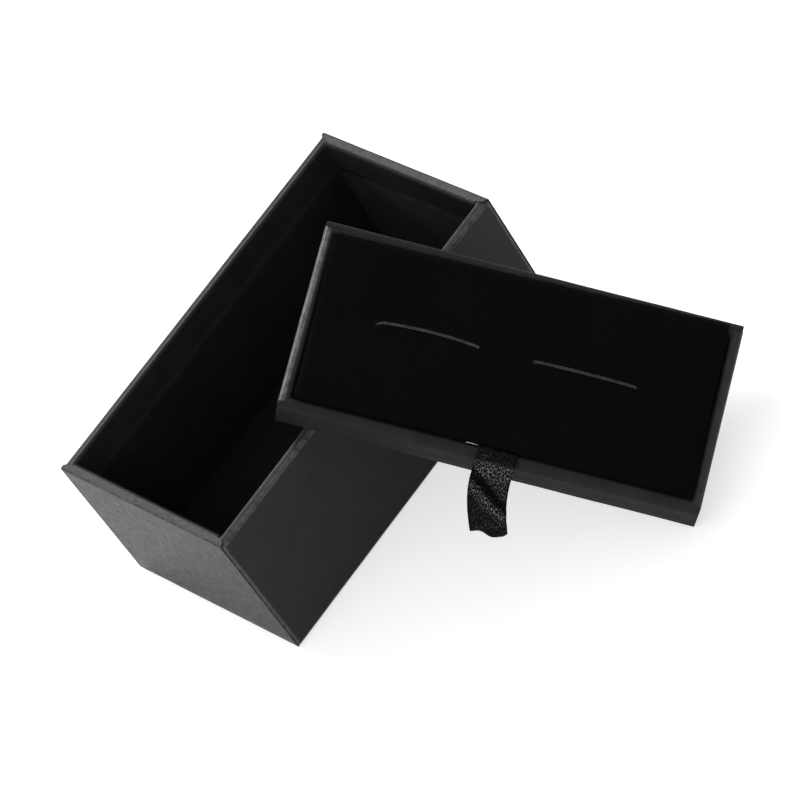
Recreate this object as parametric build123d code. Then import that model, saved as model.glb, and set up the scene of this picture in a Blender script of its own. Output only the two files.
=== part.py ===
from build123d import *
import os
from dataclasses import dataclass
from math import asin, atan2, cos, degrees, hypot, radians, sin

# Cufflink box: an open rigid case, wrapped in leatherette and lined with flocked card, and the shallow
# padded drawer that sits in its mouth and lifts out by a ribbon. The drawer lies as it is shown, taken out
# and leaning over the case's right-hand rim, with one corner on the floor.
# Millimetres. +Z is up, +Y runs along the case and +X points out over the rim that the drawer leans on.
# The origin is the centre of the case's underside.

# ---- case ----
CASE_LENGTH = 85.0
CASE_WIDTH = 44.4
CASE_HEIGHT = 35.7
CASE_BOARD = 1.5
CASE_TURN_IN = 11.0          # leatherette folded down inside the case, from the rim
CASE_TURN_UNDER = 9.0        # leatherette folded in under the base
CASE_SHEET_INSET = 1.2       # bottom sheet, in from the case's sides

# ---- flocked liner inside the case ----
LINER_CARD = 1.2
LINER_DROP = 7.0             # from the case's rim down to the ledge that carries the drawer
LINER_FIT = 0.1              # around the floor card

# ---- drawer ----
DRAWER_HEIGHT = 9.5
DRAWER_BOARD = 1.4
DRAWER_END_CLEARANCE = 0.3   # between drawer and case, at each end
DRAWER_SIDE_CLEARANCE = 1.3  # between drawer and case, at each long side
DRAWER_TURN_IN = 5.0
DRAWER_TURN_UNDER = 7.0
DRAWER_SHEET_INSET = 0.3

# ---- materials that both shells share ----
WRAP = 0.3                   # leatherette
BOTTOM_SHEET = 0.3           # paper
BOARD_EDGE_RADIUS = 0.6      # the boards' rubbed outer edges
RIM_INNER_RADIUS = 0.4       # the boards' inner top edges
WRAP_INNER_CORNER = 0.5      # leatherette in the inner corners
STAY = 0.12                  # paper corner tape
STAY_LEG = 7.0
STAY_MARGIN = 1.0            # from the tape's ends to the boards' edges

# ---- pad in the drawer ----
PAD_CLEARANCE = 0.3
PAD_CARD = 1.0
VELVET = 0.6
PAD_PROUD = 0.9              # the pad's shoulder above the drawer's rim
PAD_CROWN = 0.9              # the middle of the pad above its shoulder
PAD_SHOULDER = 1.6
PAD_CORNER = 2.2

# ---- slits in the pad that hold the cufflinks ----
SLIT_LENGTH = 19.2
SLIT_OPENING = 0.8
SLIT_BOW = 0.7
SLIT_FLOOR = 1.5             # foam left under a slit
SLIT_SPACING = 29.7
SLIT_SHIFT_ALONG = -1.0      # the pair's middle, from the pad's middle
SLIT_SHIFT_BACK = 1.4

# ---- ribbon pull ----
RIBBON = 0.25
RIBBON_WIDTH = 7.5
RIBBON_SHIFT = 1.6           # along the drawer, from its middle
RIBBON_REACH = 14.0          # in front of its fold over the rim
RIBBON_DROOP = 6.0           # below its fold over the rim
RIBBON_FOLD_RADIUS = 0.9     # the rounded end of the loop
RIBBON_ARCH = 1.3            # bulge of the upper strand
RIBBON_SAG = 0.3             # bulge of the lower strand
RIBBON_TAB = 9.0             # tail glued under the pad
RIBBON_LIFT = 0.3            # air between the loop's root and the rim
RIBBON_SWING_GAP = 0.05
RIBBON_SLOT_SPARE = 2.3      # cut in the leatherette beyond the ribbon's left edge
RIBBON_SLOT_FIT = 0.2
RIBBON_SLOT_HEIGHT = 0.8
RIBBON_SLOT_DEPTH = 0.4

# ---- how the drawer leans ----
LEAN_YAW = 21.55             # degrees, the drawer's length from square to the rim
LEAN_OVERHANG = 6.2          # front left corner, beyond the rim and over the case
LEAN_ALONG = 25.5            # front left corner, from the case's near end
LEAN_GAP = 0.3

# ---- worked out from the sizes above ----
CASE_RIM = CASE_BOARD + 2 * WRAP
DRAWER_RIM = DRAWER_BOARD + 2 * WRAP
CASE_MOUTH_LENGTH = CASE_LENGTH - 2 * CASE_RIM
CASE_MOUTH_WIDTH = CASE_WIDTH - 2 * CASE_RIM
DRAWER_LENGTH = CASE_MOUTH_LENGTH - 2 * DRAWER_END_CLEARANCE
DRAWER_WIDTH = CASE_MOUTH_WIDTH - 2 * DRAWER_SIDE_CLEARANCE
WRAP_EDGE_RADIUS = BOARD_EDGE_RADIUS + WRAP
BOARD_LOW = BOTTOM_SHEET + WRAP
RIBBON_STACK = 2 * RIBBON
ON_FLOOR = (Align.CENTER, Align.CENTER, Align.MIN)


@dataclass(frozen=True)
class Shell:
    """A rigid box of greyboard wrapped in leatherette, centred on Z with its underside at z = 0."""

    size_x: float
    size_y: float
    height: float
    board: float
    turn_in: float
    turn_under: float
    sheet_inset: float

    @property
    def rim(self):
        return self.board + 2 * WRAP

    @property
    def board_x(self):
        return self.size_x - 2 * WRAP

    @property
    def board_y(self):
        return self.size_y - 2 * WRAP

    @property
    def floor(self):
        return BOARD_LOW + self.board


CASE = Shell(CASE_WIDTH, CASE_LENGTH, CASE_HEIGHT, CASE_BOARD, CASE_TURN_IN, CASE_TURN_UNDER, CASE_SHEET_INSET)
DRAWER = Shell(
    DRAWER_LENGTH, DRAWER_WIDTH, DRAWER_HEIGHT, DRAWER_BOARD, DRAWER_TURN_IN, DRAWER_TURN_UNDER, DRAWER_SHEET_INSET
)


def slab(size_x, size_y, low, high):
    """A plain block centred on Z between two heights."""
    return Pos(0, 0, low) * Box(size_x, size_y, high - low, align=ON_FLOOR)


def block_between(x_pair, y_pair, z_pair):
    """A plain block given by its limits along X, Y and Z."""
    sizes = [high - low for low, high in (x_pair, y_pair, z_pair)]
    low_corner = (Align.MIN, Align.MIN, Align.MIN)
    return Pos(x_pair[0], y_pair[0], z_pair[0]) * Box(*sizes, align=low_corner)


def round_cornered(size_x, size_y, low, high, radius):
    """A slab with rounded upright edges."""
    body = slab(size_x, size_y, low, high)
    return fillet(body.edges().filter_by(Axis.Z), radius)


def top_edges(body):
    return body.faces().sort_by(Axis.Z)[-1].edges()


# ---- the wrapped boards ----
def board_ring(shell):
    """The four walls as one ring, before it is cut into boards."""
    low, high = BOARD_LOW, shell.height - WRAP
    outer = round_cornered(shell.board_x, shell.board_y, low, high, BOARD_EDGE_RADIUS)
    outer = fillet(top_edges(outer), BOARD_EDGE_RADIUS)
    mouth = slab(shell.board_x - 2 * shell.board, shell.board_y - 2 * shell.board, low, high)
    ring = outer - mouth
    inner_edges = top_edges(ring).sort_by(lambda edge: edge.center().length)[:4]
    return fillet(inner_edges, RIM_INNER_RADIUS)


def wrapped_ring(shell):
    """The outside of the leatherette, down into the mouth."""
    outer = round_cornered(shell.size_x, shell.size_y, BOTTOM_SHEET, shell.height, WRAP_EDGE_RADIUS)
    outer = fillet(top_edges(outer), WRAP_EDGE_RADIUS)
    mouth_x, mouth_y = shell.size_x - 2 * shell.rim, shell.size_y - 2 * shell.rim
    mouth = round_cornered(mouth_x, mouth_y, BOTTOM_SHEET, shell.height, WRAP_INNER_CORNER)
    ring = outer - mouth
    inner_edges = top_edges(ring).sort_by(lambda edge: edge.center().length)[:8]
    return fillet(inner_edges, RIM_INNER_RADIUS + WRAP)


def base_board(shell):
    return slab(shell.board_x - 2 * shell.board, shell.board_y - 2 * shell.board, BOARD_LOW, shell.floor)


def wall_boards(shell):
    """The ring cut into two walls across X that run the full size, and two walls between them."""
    ring = board_ring(shell)
    half_x, half_y = shell.size_x / 2, shell.size_y / 2
    inner_x = shell.board_x / 2 - shell.board
    heights = (0, shell.height)
    full = (-half_y, half_y)
    between = (-inner_x, inner_x)
    return {
        "minus_x": ring & block_between((-half_x, -inner_x), full, heights),
        "plus_x": ring & block_between((inner_x, half_x), full, heights),
        "minus_y": ring & block_between(between, (-half_y, 0), heights),
        "plus_y": ring & block_between(between, (0, half_y), heights),
    }


def corner_stays(shell):
    """Paper tape folded round the four upright corners of the boards."""
    low = BOARD_LOW + STAY_MARGIN
    high = shell.height - WRAP - BOARD_EDGE_RADIUS - STAY_MARGIN
    outer = round_cornered(
        shell.board_x + 2 * STAY, shell.board_y + 2 * STAY, low, high, BOARD_EDGE_RADIUS + STAY
    )
    tape = outer - round_cornered(shell.board_x, shell.board_y, low, high, BOARD_EDGE_RADIUS)
    tape -= slab(shell.size_x, shell.board_y - 2 * STAY_LEG, low, high)
    return tape - slab(shell.board_x - 2 * STAY_LEG, shell.size_y, low, high)


def wrap_skin(shell, stays):
    """Leatherette over the walls, folded into the mouth and in under the base."""
    skin = wrapped_ring(shell) - board_ring(shell)
    skin -= slab(
        shell.board_x - 2 * shell.board, shell.board_y - 2 * shell.board, BOARD_LOW, shell.height - shell.turn_in
    )
    under = round_cornered(shell.size_x, shell.size_y, BOTTOM_SHEET, BOARD_LOW, WRAP_EDGE_RADIUS)
    under -= slab(
        shell.size_x - 2 * shell.turn_under, shell.size_y - 2 * shell.turn_under, BOTTOM_SHEET, BOARD_LOW
    )
    return skin + under - stays


def bottom_sheet(shell):
    inset = 2 * shell.sheet_inset
    return round_cornered(shell.size_x - inset, shell.size_y - inset, 0, BOTTOM_SHEET, WRAP_EDGE_RADIUS)


def shell_nodes(shell, prefix, walls):
    """The pieces of one wrapped shell; walls names its four sides in the order -X, +X, -Y, +Y."""
    stays = corner_stays(shell)
    nodes = {f"{prefix}_base_board": base_board(shell)}
    for name, wall in zip(walls, wall_boards(shell).values()):
        nodes[f"{prefix}_wall_{name}"] = wall
    nodes[f"{prefix}_corner_stays"] = stays
    nodes[f"{prefix}_wrap"] = wrap_skin(shell, stays)
    nodes[f"{prefix}_bottom_sheet"] = bottom_sheet(shell)
    return nodes


# ---- the case's liner ----
def liner_nodes():
    """Flocked cards: one on the floor and four standing on it, whose top edges are the drawer's ledge."""
    low = CASE.floor + LINER_CARD
    ledge = CASE_HEIGHT - LINER_DROP
    half_x, half_y = CASE_MOUTH_WIDTH / 2, CASE_MOUTH_LENGTH / 2
    inner_x, inner_y = half_x - LINER_CARD, half_y - LINER_CARD
    floor_x = CASE.board_x - 2 * CASE_BOARD - 2 * LINER_FIT
    floor_y = CASE.board_y - 2 * CASE_BOARD - 2 * LINER_FIT
    heights = (low, ledge)
    mouth = round_cornered(CASE_MOUTH_WIDTH, CASE_MOUTH_LENGTH, low, ledge, WRAP_INNER_CORNER)
    return {
        "liner_floor": slab(floor_x, floor_y, CASE.floor, low),
        "liner_wall_left": block_between((-half_x, -inner_x), (-inner_y, inner_y), heights),
        "liner_wall_right": block_between((inner_x, half_x), (-inner_y, inner_y), heights),
        "liner_wall_near": mouth & block_between((-half_x, half_x), (-half_y, -inner_y), heights),
        "liner_wall_far": mouth & block_between((-half_x, half_x), (inner_y, half_y), heights),
    }


# ---- the pad ----
def crown_cutter(size_x, size_y, shoulder_height):
    """What lies above a low arch that spans the pad's width."""
    half, top = size_y / 2, shoulder_height + 2 * PAD_CROWN
    outside = half + PAD_CORNER
    section = make_face([
        ThreePointArc((-half, shoulder_height), (0, shoulder_height + PAD_CROWN), (half, shoulder_height)),
        Polyline(
            (half, shoulder_height), (outside, shoulder_height), (outside, top),
            (-outside, top), (-outside, shoulder_height), (-half, shoulder_height),
        ),
    ])
    return extrude(Plane.YZ * section, size_x, both=True)


def pad_form(size_x, size_y, low, shoulder_height, shoulder, corner):
    """A cushion with a crown, drawn in all round at its shoulders, with round corners."""
    plan = round_cornered(size_x, size_y, low, shoulder_height + PAD_CROWN, corner)
    crowned = plan - crown_cutter(size_x, size_y, shoulder_height)
    return fillet(top_edges(crowned), shoulder)


def slit_cutter(low, high):
    """Both slits, each the narrow crescent between two shallow arcs."""
    half = SLIT_LENGTH / 2
    crescent = make_face([
        ThreePointArc((-half, 0), (0, SLIT_BOW + SLIT_OPENING / 2), (half, 0)),
        ThreePointArc((half, 0), (0, SLIT_BOW - SLIT_OPENING / 2), (-half, 0)),
    ])
    column = Pos(0, SLIT_SHIFT_BACK, low) * extrude(crescent, high - low)
    return [Pos(SLIT_SHIFT_ALONG + side * SLIT_SPACING / 2, 0, 0) * column for side in (-1, 1)]


def ribbon_pocket(wall_face, floor):
    """Room for the ribbon's tail: under the pad and up between the pad and the front wall."""
    half = RIBBON_WIDTH / 2 + RIBBON_SLOT_FIT
    across = (RIBBON_SHIFT - half, RIBBON_SHIFT + half)
    room = RIBBON_STACK + RIBBON_SWING_GAP
    under = block_between(across, (wall_face, wall_face + RIBBON_TAB + RIBBON_SLOT_FIT), (floor, floor + room))
    up = block_between(across, (wall_face, wall_face + room), (floor, DRAWER_HEIGHT + room))
    return under + up


def pad_nodes():
    """Card, foam and velvet of the pad, in the drawer's own frame."""
    mouth_x, mouth_y = DRAWER_LENGTH - 2 * DRAWER_RIM, DRAWER_WIDTH - 2 * DRAWER_RIM
    outer_x, outer_y = mouth_x - 2 * PAD_CLEARANCE, mouth_y - 2 * PAD_CLEARANCE
    inner_x, inner_y = outer_x - 2 * VELVET, outer_y - 2 * VELVET
    floor, top = DRAWER.floor, DRAWER_HEIGHT + PAD_PROUD
    card_top = floor + PAD_CARD
    outer = pad_form(outer_x, outer_y, floor, top, PAD_SHOULDER, PAD_CORNER)
    inner = pad_form(inner_x, inner_y, floor, top - VELVET, PAD_SHOULDER - VELVET / 2, PAD_CORNER - VELVET)
    card = inner & slab(outer_x, outer_y, floor, card_top)
    foam = inner - slab(outer_x, outer_y, floor, card_top)
    cover = outer - inner
    slits = slit_cutter(card_top + SLIT_FLOOR, top + 2 * PAD_CROWN)
    pocket = ribbon_pocket(-mouth_y / 2, floor)
    return {
        "pad_backing_card": card - pocket,
        "pad_foam": foam - slits - pocket,
        "pad_velvet_cover": cover - slits - pocket,
    }


# ---- the ribbon ----
def ribbon_hinge():
    """The line, in the drawer's frame, where the loop turns over the front rim: its y and z."""
    return -DRAWER_WIDTH / 2 + WRAP_EDGE_RADIUS, DRAWER_HEIGHT + RIBBON_STACK / 2 + RIBBON_LIFT


def ribbon_tail():
    """The doubled end: glued to the base under the pad, up the front wall and over the rim."""
    wall_face, floor = -DRAWER_WIDTH / 2 + DRAWER_RIM, DRAWER.floor
    across = (RIBBON_SHIFT - RIBBON_WIDTH / 2, RIBBON_SHIFT + RIBBON_WIDTH / 2)
    hinge_y, _ = ribbon_hinge()
    rim_start = hinge_y + RIBBON_STACK / 2 + RIBBON_SWING_GAP
    top = DRAWER_HEIGHT + RIBBON_STACK
    under = block_between(across, (wall_face, wall_face + RIBBON_TAB), (floor, floor + RIBBON_STACK))
    up = block_between(across, (wall_face, wall_face + RIBBON_STACK), (floor, top))
    over = block_between(across, (rim_start, wall_face + RIBBON_STACK), (DRAWER_HEIGHT, top))
    return under + up + over


def loop_outline(span, root, fold, arch, sag):
    """The loop from the side: a narrow root, two bulging strands and a rounded fold."""
    neck = span - fold
    middle = span / 2
    return [
        ThreePointArc((0, root), (middle, root + arch), (neck, fold)),
        ThreePointArc((neck, fold), (span, 0), (neck, -fold)),
        ThreePointArc((neck, -fold), (middle, -root - sag), (0, -root)),
        ThreePointArc((0, -root), (-root, 0), (0, root)),
    ]


def ribbon_loop():
    """The flattened loop that is pulled, drooping from the hinge line at the front rim."""
    hinge_y, hinge_z = ribbon_hinge()
    droop = atan2(RIBBON_DROOP, RIBBON_REACH)
    span = hypot(RIBBON_DROOP, RIBBON_REACH)
    root = RIBBON_STACK / 2
    outer = make_face(loop_outline(span, root, RIBBON_FOLD_RADIUS, RIBBON_ARCH, RIBBON_SAG))
    neck, fold = span - RIBBON_FOLD_RADIUS, RIBBON_FOLD_RADIUS - RIBBON
    throat = (4 * RIBBON_STACK, RIBBON)
    inside = make_face([
        ThreePointArc(throat, (span / 2, root + RIBBON_ARCH - RIBBON), (neck, fold)),
        ThreePointArc((neck, fold), (span - RIBBON, 0), (neck, -fold)),
        ThreePointArc((neck, -fold), (span / 2, RIBBON - root - RIBBON_SAG), throat),
    ])
    side = Plane(
        origin=(RIBBON_SHIFT + RIBBON_WIDTH / 2, hinge_y, hinge_z),
        x_dir=(0, -cos(droop), -sin(droop)),
        z_dir=(-1, 0, 0),
    )
    return side * extrude(outer - inside, RIBBON_WIDTH)


def cut_ribbon_slot(wrap):
    """Open the leatherette at the front rim's inner edge, where the ribbon comes up."""
    wall_face = -DRAWER_WIDTH / 2 + DRAWER_RIM
    left = RIBBON_SHIFT - RIBBON_WIDTH / 2 - RIBBON_SLOT_SPARE
    right = RIBBON_SHIFT + RIBBON_WIDTH / 2 + RIBBON_SLOT_FIT
    depth = (wall_face - RIBBON_SLOT_DEPTH, wall_face + WRAP)
    return wrap - block_between((left, right), depth, (DRAWER_HEIGHT - RIBBON_SLOT_HEIGHT, DRAWER_HEIGHT))


def drawer_nodes():
    """Every piece of the drawer, lying flat in the drawer's own frame."""
    nodes = shell_nodes(DRAWER, "drawer", ("left", "right", "front", "back"))
    nodes["drawer_wrap"] = cut_ribbon_slot(nodes["drawer_wrap"])
    nodes.update(pad_nodes())
    nodes["ribbon_tail"] = ribbon_tail()
    nodes["ribbon_loop"] = ribbon_loop()
    return nodes


# ---- where the drawer leans ----
def lean_angle():
    """Tilt at which the underside lies over the rounded rim while the sheet's low corner meets the floor."""
    yaw = radians(LEAN_YAW)
    arc = DRAWER_SHEET_INSET + WRAP_EDGE_RADIUS
    reach = (DRAWER_LENGTH - arc) * cos(yaw) - arc * sin(yaw) + WRAP_EDGE_RADIUS - LEAN_OVERHANG
    rise = WRAP_EDGE_RADIUS + LEAN_GAP
    return degrees(atan2(rise, reach) + asin((CASE_HEIGHT - WRAP_EDGE_RADIUS) / hypot(reach, rise)))


def lean_location():
    """Places the drawer's own frame, at the middle of its underside, in the frame of the part."""
    tilt, yaw = radians(lean_angle()), radians(LEAN_YAW)
    rise = WRAP_EDGE_RADIUS + LEAN_GAP
    rim_x, rim_z = CASE_WIDTH / 2 - WRAP_EDGE_RADIUS, CASE_HEIGHT - WRAP_EDGE_RADIUS
    downhill = DRAWER_LENGTH / 2 * cos(yaw) - DRAWER_WIDTH / 2 * sin(yaw) - LEAN_OVERHANG
    along = DRAWER_LENGTH / 2 * sin(yaw) + DRAWER_WIDTH / 2 * cos(yaw) + LEAN_ALONG
    x = rim_x + rise * sin(tilt) + downhill * cos(tilt)
    z = rim_z + rise * cos(tilt) - downhill * sin(tilt)
    return Pos(x, along - CASE_LENGTH / 2, z) * Rot(0, lean_angle(), 0) * Rot(0, 0, LEAN_YAW)


def all_nodes():
    """Every node of the part by name, in place."""
    nodes = shell_nodes(CASE, "case", ("left", "right", "near", "far"))
    nodes.update(liner_nodes())
    lean = lean_location()
    for name, shape in drawer_nodes().items():
        nodes[name] = lean * shape
    return nodes


def main():
    os.makedirs("parts", exist_ok=True)
    for name, shape in all_nodes().items():
        export_step(shape, f"parts/{name}.step")


if __name__ == "__main__":
    main()
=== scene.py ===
"""Looks of a wrapped cufflink case and its velvet-padded drawer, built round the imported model.

Sizes are in millimetres in each sub-assembly's own frame, and `Frame.world` takes them to the row
frame in metres. The case's frame is the row frame. The drawer's has its length along x, its width
along y with the ribbon at the front (-y), and z up from its underside.
"""

import logging
import math
import random
from collections.abc import Callable
from dataclasses import dataclass, field
from enum import Enum

import bmesh
import bpy
from mathutils import Matrix, Vector, noise


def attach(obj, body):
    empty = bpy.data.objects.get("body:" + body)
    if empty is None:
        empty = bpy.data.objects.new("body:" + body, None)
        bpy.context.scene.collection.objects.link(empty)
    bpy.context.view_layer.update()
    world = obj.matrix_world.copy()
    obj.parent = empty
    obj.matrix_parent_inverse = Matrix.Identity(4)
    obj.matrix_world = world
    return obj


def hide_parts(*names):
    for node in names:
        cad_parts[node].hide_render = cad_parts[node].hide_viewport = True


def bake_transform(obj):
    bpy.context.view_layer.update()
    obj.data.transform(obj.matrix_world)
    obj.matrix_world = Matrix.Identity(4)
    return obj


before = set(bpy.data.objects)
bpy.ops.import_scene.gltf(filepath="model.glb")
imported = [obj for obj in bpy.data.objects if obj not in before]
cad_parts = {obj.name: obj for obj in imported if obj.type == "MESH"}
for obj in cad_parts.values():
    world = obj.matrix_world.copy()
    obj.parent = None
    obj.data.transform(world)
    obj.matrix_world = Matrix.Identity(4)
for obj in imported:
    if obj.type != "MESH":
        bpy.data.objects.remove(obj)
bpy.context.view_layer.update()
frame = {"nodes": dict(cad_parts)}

log = logging.getLogger("cufflink_box")
Socket = bpy.types.NodeSocket
MM = 0.001
CASE_SIZE = (44.4, 85.0, 35.7)  # width, length and height in millimetres
DRAWER_SIZE = (80.2, 37.6, 9.5)  # length, width and height in millimetres
RUB_AND_HIGHLIGHT = "rub_and_highlight"  # vertex attribute: how pale the leatherette is painted, partly rubbed wear and partly painted highlight lines
PAINTED_SHEEN_ATTRIBUTE = "painted_sheen"  # vertex attribute: painted sheen of the satin, bright at bends and dark over the rim and in the crease
ON = 0.01  # millimetres within which a point counts as lying on a face
QUARTER_TURN = [math.pi / 2 * i / 5 for i in range(6)]


class Body(Enum):
    """The CAD bodies that pieces ride on."""

    CASE = "case"
    DRAWER = "drawer"
    RIBBON = "ribbon"


class Slot(Enum):
    """The record's material slots."""

    LEATHERETTE = "leatherette"
    GREYBOARD = "greyboard"
    WHITE_BOARD = "white_board"
    STAY_PAPER = "stay_paper"
    SHEET_PAPER = "sheet_paper"
    FLOCK = "flock"
    VELVET = "velvet"
    SATIN = "satin"


# ---------------------------------------------------------------- materials


class NodeTree:
    """A small helper that adds and links shader nodes of one material."""

    def __init__(self, name: str) -> None:
        """Start a material whose tree holds an output and a Principled shader.

        Args:
            name: the material's name.
        """
        self.material = bpy.data.materials.new(name)
        self.material.use_nodes = True
        self.tree = self.material.node_tree
        self.shader = self.tree.nodes["Principled BSDF"]
        self.output = self.tree.nodes["Material Output"]

    def add(self, kind: str, **values: object) -> bpy.types.Node:
        """Add a node and set its properties or input defaults.

        Args:
            kind: the node's bl_idname.
            values: property names, or input names with spaces as underscores.

        Returns:
            The new node.
        """
        node = self.tree.nodes.new(kind)
        for key, value in values.items():
            socket = next((s for s in node.inputs if s.name.replace(" ", "_") == key), None)
            if socket is not None:
                socket.default_value = value
            else:
                setattr(node, key, value)
        return node

    def link(self, source: Socket, target: Socket) -> None:
        """Join an output socket to an input socket."""
        self.tree.links.new(source, target)

    def coordinates(self, output: str = "Object") -> Socket:
        """Return one output of a Texture Coordinate node."""
        return self.add("ShaderNodeTexCoord").outputs[output]

    def attribute(self, name: str) -> Socket:
        """Return the grey output of a mesh attribute."""
        return self.add("ShaderNodeAttribute", attribute_name=name).outputs["Fac"]

    def math(self, operation: str, first: Socket, second: Socket) -> Socket:
        """Add a Math node on two sockets.

        Args:
            operation: the node's operation.
            first: its first value.
            second: its second value.

        Returns:
            The result's socket.
        """
        node = self.add("ShaderNodeMath", operation=operation)
        self.link(first, node.inputs[0])
        self.link(second, node.inputs[1])
        return node.outputs[0]

    def noise(self, scale: float, detail: float, where: Socket = None) -> Socket:
        """Add a noise texture.

        Args:
            scale: features per metre on Object coordinates.
            detail: octaves.
            where: the coordinates, Object ones if left out.

        Returns:
            Its grey output.
        """
        node = self.add("ShaderNodeTexNoise", Scale=scale, Detail=detail)
        self.link(where or self.coordinates(), node.inputs["Vector"])
        return node.outputs["Fac"]

    def cells(self, scale: float) -> Socket:
        """Add a Voronoi texture.

        Args:
            scale: cells per metre on Object coordinates.

        Returns:
            Its distance output.
        """
        node = self.add("ShaderNodeTexVoronoi", Scale=scale, feature="F1")
        self.link(self.coordinates(), node.inputs["Vector"])
        return node.outputs["Distance"]

    def mapped(self, value: Socket, low: float, high: float,
               start: float = 0.0, end: float = 1.0) -> Socket:
        """Map a grey value from start..end to low..high, clamped.

        Args:
            value: the socket to map.
            low: result at start.
            high: result at end.
            start: value that gives low.
            end: value that gives high.

        Returns:
            The mapped socket.
        """
        node = self.add("ShaderNodeMapRange", From_Min=start, From_Max=end, To_Min=low, To_Max=high)
        self.link(value, node.inputs["Value"])
        return node.outputs["Result"]

    def blend(self, factor: Socket, dark: object, light: tuple) -> Socket:
        """Mix two colours by a factor socket.

        Args:
            factor: 0 gives dark and 1 gives light.
            dark: linear RGB, or a colour socket.
            light: linear RGB.

        Returns:
            The colour socket.
        """
        node = self.add("ShaderNodeMix", data_type="RGBA")
        self.link(factor, node.inputs[0])
        if isinstance(dark, Socket):
            self.link(dark, node.inputs[6])
        else:
            node.inputs[6].default_value = (*dark, 1.0)
        node.inputs[7].default_value = (*light, 1.0)
        return node.outputs[2]

    def bump(self, height: Socket, depth_mm: float,
             below: Socket = None) -> Socket:
        """Add a bump node.

        Args:
            height: the height socket.
            depth_mm: depth of the relief.
            below: the normal of a coarser bump under this one.

        Returns:
            The normal socket.
        """
        node = self.add("ShaderNodeBump", Strength=1.0, Distance=depth_mm * MM)
        self.link(height, node.inputs["Height"])
        if below is not None:
            self.link(below, node.inputs["Normal"])
        return node.outputs["Normal"]

    def shade(self, **values: object) -> bpy.types.Material:
        """Fill the shader's inputs: a socket is linked, anything else is that input's constant.

        Args:
            values: input names with spaces as underscores.

        Returns:
            The finished material.
        """
        for key, value in values.items():
            target = self.shader.inputs[key.replace("_", " ")]
            if isinstance(value, Socket):
                self.link(value, target)
            else:
                target.default_value = value
        return self.material


@dataclass(frozen=True)
class Leatherette:
    """Black grained leatherette over board: a fine pebble grain under a satin coat, its edges painted pale as
    rubbed wear and painted highlight.
    """

    name: str = "black_leatherette"
    dark: tuple = (0.0175, 0.0175, 0.019)
    light: tuple = (0.0215, 0.0215, 0.0235)
    # pale edge colour: partly rubbed wear, partly painted highlight lines
    rubbed_and_highlight: tuple = (0.13, 0.13, 0.135)
    grain: float = 1500.0
    pores: float = 4200.0
    grain_depth: float = 0.02
    mottle: float = 140.0
    scuffs: float = 700.0
    roughness: tuple = (0.27, 0.40)
    gloss: float = 0.19

    def material(self) -> bpy.types.Material:
        """Build the material; the mesh's own rub attribute says where edges are painted pale, partly as
        rubbed wear and partly as painted highlight.

        Returns:
            The material.
        """
        nodes = NodeTree(self.name)
        mottle = nodes.mapped(nodes.noise(self.mottle, 4.0), 0.0, 1.0, 0.35, 0.65)
        # the rub attribute paints the edges pale: rubbed wear and painted highlight together
        rub_and_highlight = nodes.attribute(RUB_AND_HIGHLIGHT)
        scuffed = nodes.mapped(nodes.noise(self.scuffs, 3.0), 0.35, 1.0, 0.35, 0.6)
        wear_and_highlight = nodes.math("MULTIPLY", rub_and_highlight, scuffed)
        rough = nodes.mapped(nodes.noise(self.grain * 0.6, 3.0), *self.roughness, 0.3, 0.7)
        pebble = nodes.bump(nodes.cells(self.grain), self.grain_depth)
        return nodes.shade(
            Base_Color=nodes.blend(wear_and_highlight, nodes.blend(mottle, self.dark, self.light), self.rubbed_and_highlight),
            Specular_IOR_Level=self.gloss,
            Roughness=nodes.math("MULTIPLY", rough, nodes.mapped(rub_and_highlight, 1.0, 0.7)),
            Normal=nodes.bump(nodes.noise(self.pores, 3.0), self.grain_depth * 0.5, pebble))


@dataclass(frozen=True)
class Pile:
    """A short black pile, as flock or velvet: nearly no gloss, a soft sheen and fibre speckle."""

    name: str
    dark: tuple
    light: tuple
    fibre: float
    depth: float
    sheen: float
    sheen_roughness: float
    nap: float = 60.0
    roughness: float = 0.95
    gloss: float = 0.05
    sheen_tint: tuple = (0.8, 0.82, 0.86, 1.0)

    def material(self) -> bpy.types.Material:
        """Build the material, its fibres lit where the nap stands.

        Returns:
            The material.
        """
        nodes = NodeTree(self.name)
        speckle = nodes.noise(self.fibre, 2.0)
        nap = nodes.mapped(nodes.noise(self.nap, 3.0), 0.0, 1.0, 0.35, 0.65)
        dense = nodes.mapped(speckle, 0.0, 1.0, 0.3, 0.75)
        lit = nodes.math("MULTIPLY", dense, nodes.mapped(nap, 0.6, 1.0))
        return nodes.shade(
            Base_Color=nodes.blend(lit, self.dark, self.light), Roughness=self.roughness,
            Specular_IOR_Level=self.gloss, Sheen_Weight=self.sheen, Sheen_Roughness=self.sheen_roughness,
            Sheen_Tint=self.sheen_tint, Normal=nodes.bump(speckle, self.depth))


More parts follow.
